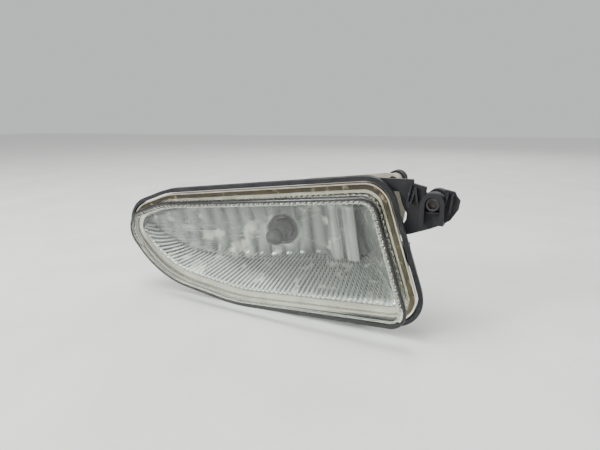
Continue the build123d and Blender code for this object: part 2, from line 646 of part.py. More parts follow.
PIECES = {
    "carrier_frame": make_carrier_frame,
    "pivot_bush_left": lambda: make_pivot_bush(True),
    "pivot_bush_right": lambda: make_pivot_bush(False),
    "adjuster_bush": make_adjuster_bush,
    "adjuster_screw": make_adjuster_screw,
    "screw_retainer": make_screw_retainer,
    "ball_nut": make_ball_nut,
    "ball_socket": make_ball_socket,
    "lens": make_lens,
    "lens_edge_band": make_edge_band,
    "lens_sealant": make_sealant,
    "reflector": make_reflector,
    "pivot_pin_left": lambda: pivot_pin(True),
    "pivot_pin_right": lambda: pivot_pin(False),
    "vent_cap": make_vent_cap,
    "bulb_base": make_bulb_base,
    "bulb_seal": make_bulb_seal,
    "bulb_collar": make_bulb_collar,
    "bulb_capsule": make_bulb_capsule,
    "bulb_tip_coat": make_bulb_tip_coat,
    "filament": make_filament,
    "filament_leads": make_filament_leads,
    "bulb_terminals": make_bulb_terminals,
}


def main():
    """Builds every piece, stands the lamp on its rest plane and writes one file per piece."""
    os.makedirs("parts", exist_ok=True)
    turned = {name: Rot(0, 0, -FLANGE_SWEEP) * make() for name, make in PIECES.items()}
    box = Compound(list(turned.values())).bounding_box()
    seat = Pos(-(box.min.X + box.max.X) / 2, -(box.min.Y + box.max.Y) / 2, -box.min.Z)
    for name, shape in turned.items():
        export_step(seat * shape, f"parts/{name}.step")
    for name, spot in marks().items():
        at = (seat * Rot(0, 0, -FLANGE_SWEEP) * Pos(*spot)).position
        print(name, round(at.X, 3), round(at.Y, 3), round(at.Z, 3))
    print("size", box.size)


def marks():
    """Places that another maker needs, in flange coordinates."""
    return {
        "origin": (0, 0, 0),
        "pivot": (0, PIVOT_D, PIVOT_V),
        "screw": (SCREW_U, PLATE_D, SCREW_V),
        "hole_left": (LEG_U[0], FOOT_D + FOOT_THICK, REST_V + MOUNT_HEIGHT),
        "hole_right": (LEG_U[1], FOOT_D + FOOT_THICK, REST_V + MOUNT_HEIGHT),
    }


if __name__ == "__main__":
    main()
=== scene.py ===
"""Looks of a wing-shaped car fog lamp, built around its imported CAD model. Sizes are millimetres.

Flange coordinates are u along the lens flange, d behind it and v up, from the point where the
bulb axis crosses the flange plane.
"""

import json
import logging
import math
from dataclasses import dataclass, field
from enum import Enum
from typing import Callable, Sequence

import bmesh
import bpy
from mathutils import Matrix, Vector, noise


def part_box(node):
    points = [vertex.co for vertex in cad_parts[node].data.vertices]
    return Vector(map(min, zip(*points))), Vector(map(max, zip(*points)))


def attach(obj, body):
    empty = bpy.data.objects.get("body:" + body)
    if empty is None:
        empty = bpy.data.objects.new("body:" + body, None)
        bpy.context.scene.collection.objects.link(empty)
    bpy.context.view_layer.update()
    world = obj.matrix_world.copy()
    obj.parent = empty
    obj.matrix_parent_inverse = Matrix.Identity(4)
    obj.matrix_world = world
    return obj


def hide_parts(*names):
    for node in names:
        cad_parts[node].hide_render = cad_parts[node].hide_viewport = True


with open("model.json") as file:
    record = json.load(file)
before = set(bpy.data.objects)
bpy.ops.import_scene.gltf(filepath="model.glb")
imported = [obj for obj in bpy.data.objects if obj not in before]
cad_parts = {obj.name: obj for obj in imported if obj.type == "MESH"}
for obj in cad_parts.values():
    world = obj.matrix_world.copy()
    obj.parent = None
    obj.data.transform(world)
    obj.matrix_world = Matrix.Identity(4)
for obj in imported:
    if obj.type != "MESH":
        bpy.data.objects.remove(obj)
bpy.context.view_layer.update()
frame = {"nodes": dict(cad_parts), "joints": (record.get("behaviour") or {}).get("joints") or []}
LOG = logging.getLogger("fog_lamp")
MM = 0.001

FLANGE_SWEEP = math.radians(12.42)   # flange plane against the optical axis
FACE_SWEEP = math.radians(2.9)       # lens face against the flange plane
LENS_DEPTH = 15.3                    # flange plane to lens face on the bulb axis
SKIRT_START = 20.3
SKIRT_FLARE = 2.4
EDGE_BAND = 0.8
FOOT_DEPTH = 2.0
BOND_SHIFT = 0.8                     # the bond channel is set out and up by this much
BEAD_WAVES = (0.16, 0.7)             # waves per mm of the bond's surface
# Pointiness range that lays the painted highlight colour onto the ridges of the flutes.
RIDGE_HIGHLIGHT_RANGE = (0.485, 0.53)          # pointiness of a hollow and of a ridge
SPECK_EDGE = 0.12                    # how softly a stain ends
REAR_WALL = 34.0                     # inside of the rear wall along the optical axis
BULB_HOLE = 10.6

Pair = tuple[float, float]
Triple = tuple[float, float, float]


class Side(Enum):
    """Stretches of the lens outline."""

    TOP = "top"
    RIGHT = "right"
    BOTTOM = "bottom"       # also the slender end


# ---------------------------------------------------------------- places


@dataclass(frozen=True)
class LampFrame:
    """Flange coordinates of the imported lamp."""

    origin: Vector
    along: Vector
    back: Vector

    @classmethod
    def from_record(cls) -> "LampFrame":
        """Reads the flange origin and direction from the lamp's joints.

        Returns:
            The lamp's own axes in the row frame.
        """
        joints = {joint["name"]: joint for joint in frame["joints"]}
        along = Vector(joints["lamp_tilt"]["axis"]).normalized()
        return cls(Vector(joints["bulb_twist"]["pos_m"]), along, Vector((-along.y, along.x, 0.0)))

    def point(self, u: float, d: float, v: float) -> Vector:
        """Place of a point given along the flange, behind it and up.

        Args:
            u: Along the flange, mm.
            d: Behind the flange, mm.
            v: Up, mm.

        Returns:
            The place in the row frame, metres.
        """
        return self.origin + (self.along * u + self.back * d + Vector((0.0, 0.0, v))) * MM

    def on_axis(self, x: float, y: float, z: float) -> Vector:
        """Place of a point given along the row's own axes from the flange origin, mm."""
        return self.origin + Vector((x, y, z)) * MM


LAMP = LampFrame.from_record()


@dataclass(frozen=True)
class Station:
    """One place on the lens outline, with its outward direction and its distance round."""

    u: float
    v: float
    out_u: float
    out_v: float
    run: float

    def at(self, grow: float, depth: float, shift: float = 0.0, scale: float = 1.0) -> Pair:
        """Flange coordinates of this station on a grown outline at a depth.

        Args:
            grow: Growth of the outline, mm.
            depth: Depth behind the flange, mm.
            shift: Set-out along the flange and up, mm.
            scale: Size of the outline's skeleton.

        Returns:
            The u and v of the point.
        """
        slide = shift - math.tan(FLANGE_SWEEP) * depth
        return self.u * scale + self.out_u * grow + slide, self.v * scale + self.out_v * grow + shift

    def side(self) -> Side:
        """Stretch of the outline that this station is on."""
        if self.out_v > 0.55:
            return Side.TOP
        if self.out_u > 0.75:
            return Side.RIGHT
        return Side.BOTTOM


@dataclass(frozen=True)
class Outline:
    """Lens outline as tangent arcs (u, v, radius), anticlockwise from the front."""

    corners: tuple[Triple, ...] = (
        (-99.1, -1.2, 13.5),
        (-53.7, 33.0, 70.0),
        (-19.1, 71.0, 112.1),
        (80.0, -24.7, 9.6),
        (62.1, 25.6, 10.7),
        (-69.1, -37.1, 57.5),
    )

    @staticmethod
    def turn_angle(a: Triple, b: Triple) -> float:
        """Direction from a corner's centre to its outer tangent with the next corner."""
        run, rise, growth = b[0] - a[0], b[1] - a[1], b[2] - a[2]
        flat = math.sqrt(run * run + rise * rise - growth * growth)
        return math.atan2(rise, run) - math.pi / 2 - math.atan2(growth, flat)

    def stations(self, spacing: float) -> list[Station]:
        """Evenly spaced stations round the outline.

        Args:
            spacing: Wanted distance between stations, mm.

        Returns:
            The stations in order.
        """
        count = len(self.corners)
        leave = [self.turn_angle(self.corners[i], self.corners[(i + 1) % count]) for i in range(count)]
        found: list[Station] = []
        run = 0.0
        for i, (u, v, radius) in enumerate(self.corners):
            start = leave[i - 1]
            sweep = (leave[i] - start) % math.tau
            steps = max(3, round(radius * sweep / spacing))
            for k in range(steps):
                angle = start + sweep * k / steps
                out = (math.cos(angle), math.sin(angle))
                spot = (u + radius * out[0], v + radius * out[1])
                found.append(Station(*spot, *out, run + radius * sweep * k / steps))
            run += radius * sweep
            out = (math.cos(leave[i]), math.sin(leave[i]))
            first = (u + radius * out[0], v + radius * out[1])
            nu, nv, nr = self.corners[(i + 1) % count]
            last = (nu + nr * out[0], nv + nr * out[1])
            length = math.dist(first, last)
            steps = max(1, round(length / spacing))
            for k in range(steps):
                share = k / steps
                place = (first[0] + (last[0] - first[0]) * share, first[1] + (last[1] - first[1]) * share)
                found.append(Station(*place, *out, run + length * share))
            run += length
        return found

    def length(self) -> float:
        """Distance round the outline, mm."""
        stations = self.stations(1.0)
        return stations[-1].run + 1.0


def skirt_grow(depth: float) -> float:
    """Outward growth of the outside of the skirt at a depth behind the flange."""
    return -EDGE_BAND + SKIRT_FLARE * (1.0 + depth / SKIRT_START)


FOOT_GROW = skirt_grow(0.0)


def face_place(station: Station, inset: float, sunk: float) -> Triple:
    """Point near the front corner of the lens.

    Args:
        station: Place round the outline.
        inset: Distance inside the outside of the skirt, mm.
        sunk: Distance behind the lens face, mm.

    Returns:
        Flange coordinates u, d and v.
    """
    depth = -LENS_DEPTH
    u, v = 0.0, 0.0
    for _ in range(5):
        u, v = station.at(skirt_grow(depth) - inset, depth)
        depth = -LENS_DEPTH - math.tan(FACE_SWEEP) * u + sunk
    return u, depth, v


def ripple(value: float, pitch: float) -> float:
    """Row of round ridges with sharp valleys, from 0 to 1."""
    return abs(math.sin(math.pi * value / pitch))


def smooth_step(low: float, high: float, value: float) -> float:
    """Smooth rise from 0 at low to 1 at high."""
    share = min(max((value - low) / (high - low), 0.0), 1.0)
    return share * share * (3.0 - 2.0 * share)


# ---------------------------------------------------------------- meshes


def link(name: str, mesh: bpy.types.Mesh) -> bpy.types.Object:
    """Puts a mesh in the scene as an object at the origin."""
    piece = bpy.data.objects.new(name, mesh)
    bpy.context.scene.collection.objects.link(piece)
    return piece


def loft(
    name: str, rings: Sequence[Sequence[Vector]], closed: bool, caps: bool = False
) -> bpy.types.Object:
    """Skin over rings of equal count.

    Args:
        name: Name of the piece.
        rings: Rings of points, metres.
        closed: Whether the last ring joins the first.
        caps: Whether flat faces close the first and last ring.

    Returns:
        The piece, with its faces outwards.
    """
    count = len(rings[0])
    vertices = [tuple(point) for ring in rings for point in ring]
    faces = []
    for r in range(len(rings) if closed else len(rings) - 1):
        low, high = r * count, (r + 1) % len(rings) * count
        for k in range(count):
            following = (k + 1) % count
            faces.append((low + k, low + following, high + following, high + k))
    smooth = len(faces)
    if caps:
        faces.append(tuple(range(count)))
        faces.append(tuple(reversed(range(len(vertices) - count, len(vertices)))))
    mesh = bpy.data.meshes.new(name)
    mesh.from_pydata(vertices, [], faces)
    mesh.polygons.foreach_set("use_smooth", [k < smooth for k in range(len(faces))])
    work = bmesh.new()
    work.from_mesh(mesh)
    bmesh.ops.recalc_face_normals(work, faces=work.faces)
    work.to_mesh(mesh)
    work.free()
    return link(name, mesh)


def dress(piece: bpy.types.Object, material: bpy.types.Material) -> bpy.types.Object:
    """Gives a whole piece one material."""
    piece.data.materials.clear()
    piece.data.materials.append(material)
    return piece


def settle(piece: bpy.types.Object) -> bpy.types.Object:
    """Turns a piece with modifiers into a plain mesh of the same shape."""
    evaluated = piece.evaluated_get(bpy.context.evaluated_depsgraph_get())
    mesh = bpy.data.meshes.new_from_object(evaluated)
    mesh.name = piece.name
    piece.modifiers.clear()
    piece.data = mesh
    return piece


def place(piece: bpy.types.Object, body: str, slot: str, *nodes: str) -> None:
    """Rides a finished piece on its body and hides the nodes it stands for.

    Args:
        piece: The finished piece.
        body: CAD body that it moves with.
        slot: Material slot of the record; not used.
        nodes: CAD nodes that it replaces.
    """
    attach(piece, body)
    if nodes:
        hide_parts(*nodes)
    LOG.info("%s on %s: %d faces", piece.name, body, len(piece.data.polygons))


# ---------------------------------------------------------------- node trees


def add_node(
    tree: bpy.types.NodeTree, kind: str, settings: dict | None = None, inputs: dict | None = None
) -> bpy.types.Node:
    """Adds a node with its settings and links.

    Args:
        tree: Tree that gets the node.
        kind: Node type.
        settings: Attributes of the node.
        inputs: Input name or index to a value or to an output socket.

    Returns:
        The node.
    """
    node = tree.nodes.new(kind)
    for key, value in (settings or {}).items():
        setattr(node, key, value)
    for key, value in (inputs or {}).items():
        if isinstance(value, bpy.types.NodeSocket):
            tree.links.new(value, node.inputs[key])
        else:
            node.inputs[key].default_value = value
    return node


def cloud_inputs(where: bpy.types.NodeSocket, size: float, detail: float) -> dict:
    """Inputs of a noise whose blotches have a size in mm."""
    return {"Vector": where, "Scale": 1.0 / (size * MM), "Detail": detail}


def colour(code: str) -> tuple[float, float, float, float]:
    """Linear colour of an sRGB hex code such as 7A5C2E."""
    parts = [int(code[i : i + 2], 16) / 255 for i in (0, 2, 4)]
    linear = [p / 12.92 if p <= 0.04045 else ((p + 0.055) / 1.055) ** 2.4 for p in parts]
    return (*linear, 1.0)


@dataclass(frozen=True)
class Finish:
    """An opaque finish whose tone, gloss and relief vary over the surface."""

    name: str
    dark: str
    light: str
    grain: float                 # size of the fine relief, mm
    relief: float                # height of the fine relief, mm
    roughness: Pair
    cloud: float = 9.0           # size of the slow change of tone, mm
    metallic: float = 0.0
    ior: float = 1.5
    coat: float = 0.0
    speck: str | None = None     # colour of dust or stains
    speck_share: float = 0.62
    painted_ridge_highlight: str | None = None     # painted highlight colour of the ridges

    def build(self) -> bpy.types.Material:
        """Makes the material.

        Returns:
            A material on Object coordinates.
        """
        material = bpy.data.materials.new(self.name)
        material.use_nodes = True
        tree = material.node_tree
        tree.nodes.clear()
        where = add_node(tree, "ShaderNodeTexCoord").outputs["Object"]
        fine = add_node(tree, "ShaderNodeTexNoise", None, cloud_inputs(where, self.grain, 3.0))
        slow = add_node(tree, "ShaderNodeTexNoise", None, cloud_inputs(where, self.cloud, 4.0))
        both = add_node(
            tree, "ShaderNodeMath", {"operation": "MULTIPLY_ADD"},
            {0: fine.outputs["Fac"], 1: 0.35, 2: slow.outputs["Fac"]},
        )
        spread = add_node(
            tree, "ShaderNodeMapRange", None,
            {"Value": both.outputs[0], "From Min": 0.5, "From Max": 0.9, "To Min": 0.0, "To Max": 1.0},
        )
        tone = add_node(
            tree, "ShaderNodeMix", {"data_type": "RGBA"},
            {0: spread.outputs[0], 6: colour(self.dark), 7: colour(self.light)},
        )
        tint = tone.outputs[2]
        # Ridges found by pointiness get a lighter colour: a painted highlight along the ridges.
        if self.painted_ridge_highlight:
            shape = add_node(tree, "ShaderNodeNewGeometry").outputs["Pointiness"]
            ridge = add_node(
                tree, "ShaderNodeMapRange", None,
                {"Value": shape, "From Min": RIDGE_HIGHLIGHT_RANGE[0], "From Max": RIDGE_HIGHLIGHT_RANGE[1]},
            )
            tint = add_node(
                tree, "ShaderNodeMix", {"data_type": "RGBA"},
                {0: ridge.outputs[0], 6: tint, 7: colour(self.painted_ridge_highlight)},
            ).outputs[2]
        if self.speck:
            dust = add_node(tree, "ShaderNodeTexNoise", None, cloud_inputs(where, self.grain * 6, 5.0))
            share = add_node(
                tree, "ShaderNodeMapRange", None,
                {"Value": dust.outputs["Fac"], "From Min": self.speck_share,
                 "From Max": self.speck_share + SPECK_EDGE},
            )
            tint = add_node(
                tree, "ShaderNodeMix", {"data_type": "RGBA"},
                {0: share.outputs[0], 6: tint, 7: colour(self.speck)},
            ).outputs[2]
        gloss = add_node(
            tree, "ShaderNodeMapRange", None,
            {"Value": slow.outputs["Fac"], "From Min": 0.35, "From Max": 0.65,
             "To Min": self.roughness[0], "To Max": self.roughness[1]},
        )
        bump = add_node(
            tree, "ShaderNodeBump", None,
            {"Height": fine.outputs["Fac"], "Distance": self.relief * MM, "Strength": 1.0},
        )
        shader = add_node(
            tree, "ShaderNodeBsdfPrincipled", None,
            {"Base Color": tint, "Roughness": gloss.outputs[0], "Normal": bump.outputs[0],
             "Metallic": self.metallic, "Coat Weight": self.coat},
        )
        if not self.metallic:
            shader.inputs["IOR"].default_value = self.ior
        add_node(tree, "ShaderNodeOutputMaterial", None, {"Surface": shader.outputs[0]})
        return material


@dataclass(frozen=True)
class ClearFinish:
    """A clear solid. Lamps outside still reach what is inside it."""

    name: str
    tint: str
    ior: float
    haze: Pair                   # roughness of clean and of scuffed places
    scuff: float = 14.0          # size of the scuffed places, mm
    relief: float = 0.0          # height of the moulding waves, mm

    def build(self) -> bpy.types.Material:
        """Makes the material.

        Returns:
            A see-through material on Object coordinates.
        """
        material = bpy.data.materials.new(self.name)
        material.use_nodes = True
        tree = material.node_tree
        tree.nodes.clear()
        where = add_node(tree, "ShaderNodeTexCoord").outputs["Object"]
        cloud = add_node(tree, "ShaderNodeTexNoise", None, cloud_inputs(where, self.scuff, 6.0))
        haze = add_node(
            tree, "ShaderNodeMapRange", None,
            {"Value": cloud.outputs["Fac"], "From Min": 0.45, "From Max": 0.75,
             "To Min": self.haze[0], "To Max": self.haze[1]},
        )
        bump = add_node(
            tree, "ShaderNodeBump", None,
            {"Height": cloud.outputs["Fac"], "Distance": self.relief * MM, "Strength": 1.0},
        )
        glass = add_node(
            tree, "ShaderNodeBsdfPrincipled", None,
            {"Base Color": colour(self.tint), "Roughness": haze.outputs[0], "Normal": bump.outputs[0],
             "Transmission Weight": 1.0, "IOR": self.ior},
        )
        light = add_node(tree, "ShaderNodeLightPath")
        through = add_node(tree, "ShaderNodeBsdfTransparent", None, {"Color": colour(self.tint)})
        mix = add_node(
            tree, "ShaderNodeMixShader", None,
            {0: light.outputs["Is Shadow Ray"], 1: glass.outputs[0], 2: through.outputs[0]},
        )
        add_node(tree, "ShaderNodeOutputMaterial", None, {"Surface": mix.outputs[0]})
        return material


class Finishes:
    """The lamp's finishes, each made once."""

    def __init__(self) -> None:
        """Makes every finish of the lamp."""
        # Injection-moulded polycarbonate with a hard coat that dulls its reflections: clear, faint scuffs.
        self.lens = ClearFinish(
            "polycarbonate_clear_moulded", "F4F7F5", 1.4, (0.0, 0.02), 16.0, 0.002,
        ).build()
        # Hard glass tube: colourless and even.
        self.bulb_glass = ClearFinish("hard_glass_drawn", "FBFCFC", 1.49, (0.0, 0.01)).build()
        # Black band on the lens's front corner: painted shade standing in for the dark internal reflection
        # of the thick edge; deep black, soft highlights.
        self.edge = Finish(
            "black_edge_painted_reflection", "060607", "121214", 0.5, 0.01, (0.18, 0.34), coat=0.3,
        ).build()
        # Butyl bonding compound, aged: matt brown with dull dust in it.
        self.sealant = Finish(
            "butyl_sealant_aged", "2E281D", "514731", 0.9, 0.22, (0.55, 0.85), 5.0,
            speck="8F8468", speck_share=0.6,
        ).build()
        # Bulk moulding compound: warm pale grey, eggshell, slightly mottled by glass fibre.
        self.moulding = Finish(
            "thermoset_bmc_moulded", "A39E8F", "C9C4B5", 0.7, 0.05, (0.42, 0.6), 12.0,
        ).build()
        # Vacuum aluminium on lacquer under a film of dust: half mirror, half satin grey; its ridges get a
        # lighter, painted highlight colour.
        self.mirror = Finish(
            "aluminium_vacuum_coated", "232826", "646A65", 1.8, 0.004, (0.14, 0.28), 19.0, metallic=0.5,
            speck="C9C8BB", speck_share=0.56, painted_ridge_highlight="B9BDB6",
        ).build()
        # A brighter copy of the same coating for the flute ends: painted highlight for their glints; satin.
        self.mirror_highlight = Finish(
            "aluminium_vacuum_coated_painted_highlight", "DADBD6", "F3F3EE", 1.8, 0.004, (0.28, 0.42), 15.0,
            metallic=1.0,
        ).build()
        # Rounded rib ends, spark-eroded so that they scatter light: milky white.
        self.frosted = ClearFinish("polycarbonate_frosted", "F3F5F1", 1.585, (0.45, 0.6), 6.0).build()
        # Glass-filled nylon, spark-eroded mould: blue-black, fine grain, grey where it is scuffed.
        self.nylon_black = Finish(
            "nylon_gf_black_eroded", "08080C", "14141B", 0.55, 0.05, (0.5, 0.74), 8.0,
            speck="3E3E48", speck_share=0.66,
        ).build()
        # Natural nylon: milky, waxy.
        self.nylon_white = Finish(
            "nylon_natural_moulded", "CFC8B2", "E8E2D0", 0.8, 0.02, (0.35, 0.5),
        ).build()
        # Dark grey nylon bulb base.
        self.nylon_grey = Finish("nylon_grey_moulded", "26272A", "3A3B3F", 0.5, 0.03, (0.4, 0.58)).build()
        # Zinc plate with yellow passivate, rolled steel below.
        self.zinc = Finish(
            "steel_zinc_plated", "9A9482", "C4BFAE", 0.5, 0.008, (0.26, 0.42), 4.0, metallic=1.0,
        ).build()
        # Turned brass, slightly tarnished.
        self.brass = Finish(
            "brass_turned", "8F6E33", "C79E54", 0.4, 0.01, (0.2, 0.36), 4.0, metallic=1.0,
        ).build()
        # Nickel on steel, dulled by heat: dark warm grey, satin.
        self.nickel = Finish(
            "steel_nickel_heated", "2A2A28", "3E3D3A", 0.6, 0.004, (0.3, 0.45), 6.0, metallic=1.0,
        ).build()
        # Phosphated screw steel: near black with rust in the recess.
        self.screw = Finish(
            "steel_phosphated", "17171A", "2E2C2C", 0.5, 0.02, (0.4, 0.6), 3.0,
            speck="6B4A2E", speck_share=0.55,
        ).build()
        # Moulded rubber: soft black with grey bloom.
        self.rubber = Finish("epdm_rubber_moulded", "0C0C0C", "1E1E1D", 0.6, 0.04, (0.6, 0.82), 5.0).build()
        # Baked heat-proof coating on the bulb tip: dark warm grey, satin.
        self.tip = Finish("bulb_tip_coating_baked", "1E1F1F", "2C2D2B", 0.5, 0.01, (0.5, 0.65), 4.0).build()
        # Drawn tungsten wire: dull steel grey.
        self.tungsten = Finish(
            "tungsten_drawn", "4A4844", "77746E", 0.3, 0.004, (0.3, 0.45), 2.0, metallic=1.0,
        ).build()
        # Painted table top: plain and pale.
        self.table = Finish("table_paint_rolled", "E4E4E1", "ECECE9", 3.0, 0.03, (0.5, 0.62), 60.0).build()


# ---------------------------------------------------------------- repeated shapes


class Pattern:
    """A Geometry Nodes tree with named inputs, turned into a plain mesh."""

    def __init__(self, name: str, sizes: dict[str, float], material: bpy.types.Material) -> None:
        """Starts the tree.

        Args:
            name: Name of the tree and of the piece.
            sizes: Named inputs and their values.
            material: Finish of what it makes.
        """
        self.name = name
        self.sizes = sizes
        self.material = material
        self.tree = bpy.data.node_groups.new(name, "GeometryNodeTree")
        self.tree.interface.new_socket("Geometry", in_out="INPUT", socket_type="NodeSocketGeometry")
        for label in sizes:
            self.tree.interface.new_socket(label, in_out="INPUT", socket_type="NodeSocketFloat")
        self.tree.interface.new_socket("Geometry", in_out="OUTPUT", socket_type="NodeSocketGeometry")
        self.given = self.add("NodeGroupInput")

    def add(self, kind: str, settings: dict | None = None, inputs: dict | None = None) -> bpy.types.Node:
        """Adds a node to this tree."""
        return add_node(self.tree, kind, settings, inputs)

    def size(self, label: str) -> bpy.types.NodeSocket:
        """Output socket of a named input."""
        return self.given.outputs[label]

    def finish(self, shape: bpy.types.NodeSocket, base: bpy.types.Mesh | None = None) -> bpy.types.Object:
        """Ends the tree and makes the piece.

        Args:
            shape: Output socket with the shape.
            base: Mesh that the tree starts from.

        Returns:
            The piece as a plain mesh.
        """
        real = self.add("GeometryNodeRealizeInstances", None, {"Geometry": shape})
        soft = self.add("GeometryNodeSetShadeSmooth", None, {"Geometry": real.outputs[0]})
        dressed = self.add(
            "GeometryNodeSetMaterial", None, {"Geometry": soft.outputs[0], "Material": self.material},
        )
        self.add("NodeGroupOutput", None, {"Geometry": dressed.outputs[0]})
        piece = link(self.name, base or bpy.data.meshes.new(self.name))
        modifier = piece.modifiers.new(self.name, "NODES")
        modifier.node_group = self.tree
        for item in self.tree.interface.items_tree:
            if item.in_out == "INPUT" and item.name in self.sizes:
                modifier[item.identifier] = self.sizes[item.name]
        return settle(piece)


def helix(name: str, start: Vector, along: Vector, material: bpy.types.Material,
          radius: float, wire: float, length: float, turns: float) -> bpy.types.Object:
    """Round wire wound along a line.

    Args:
        name: Name of the piece.
        start: Middle of the first turn, metres.
        along: Direction of the axis.
        material: Finish.
        radius: Radius of the turns, mm.
        wire: Radius of the wire, mm.
        length: Length of the winding, mm.
        turns: Number of turns.

    Returns:
        The winding as a plain mesh.
    """
    sizes = {"Radius": radius * MM, "Wire": wire * MM, "Length": length * MM, "Turns": turns}
    pattern = Pattern(name, sizes, material)
    spiral = pattern.add(
        "GeometryNodeCurveSpiral", None,
        {"Resolution": 18, "Rotations": pattern.size("Turns"), "Start Radius": pattern.size("Radius"),
         "End Radius": pattern.size("Radius"), "Height": pattern.size("Length")},
    )
    section = pattern.add(
        "GeometryNodeCurvePrimitiveCircle", None, {"Resolution": 8, "Radius": pattern.size("Wire")},
    )
    wound = pattern.add(
        "GeometryNodeCurveToMesh", None,
        {"Curve": spiral.outputs[0], "Profile Curve": section.outputs[0], "Fill Caps": True},
    )
    turn = Vector((0.0, 0.0, 1.0)).rotation_difference(along).to_euler()
    moved = pattern.add(
        "GeometryNodeTransform", None,
        {"Geometry": wound.outputs[0], "Translation": tuple(start), "Rotation": tuple(turn)},
    )
    return pattern.finish(moved.outputs[0])


def beads(name: str, path: Sequence[Vector], material: bpy.types.Material,
          across: float, height: float, length: float) -> bpy.types.Object:
    """Row of long round beads, one on each point of a path.

    Args:
        name: Name of the piece.
        path: Places of the beads, metres.
        material: Finish.
        across: Width of a bead along the path, mm.
        height: Height of a bead, mm.
        length: Length of a bead along the optical axis, mm.

    Returns:
        The beads as a plain mesh.
    """
    mesh = bpy.data.meshes.new(name)
    mesh.from_pydata([tuple(point) for point in path], [], [])
    sizes = {"Across": across * MM, "Height": height * MM, "Length": length * MM}
    pattern = Pattern(name, sizes, material)
    points = pattern.add("GeometryNodeMeshToPoints", None, {"Mesh": pattern.given.outputs["Geometry"]})
    ball = pattern.add("GeometryNodeMeshIcoSphere", None, {"Radius": 0.5, "Subdivisions": 2})
    shape = pattern.add(
        "ShaderNodeCombineXYZ", None,
        {"X": pattern.size("Across"), "Y": pattern.size("Length"), "Z": pattern.size("Height")},
    )
    row = pattern.add(
        "GeometryNodeInstanceOnPoints", None,
        {"Points": points.outputs[0], "Instance": ball.outputs[0], "Scale": shape.outputs[0]},
    )
    return pattern.finish(row.outputs[0], mesh)


# ---------------------------------------------------------------- the lamp


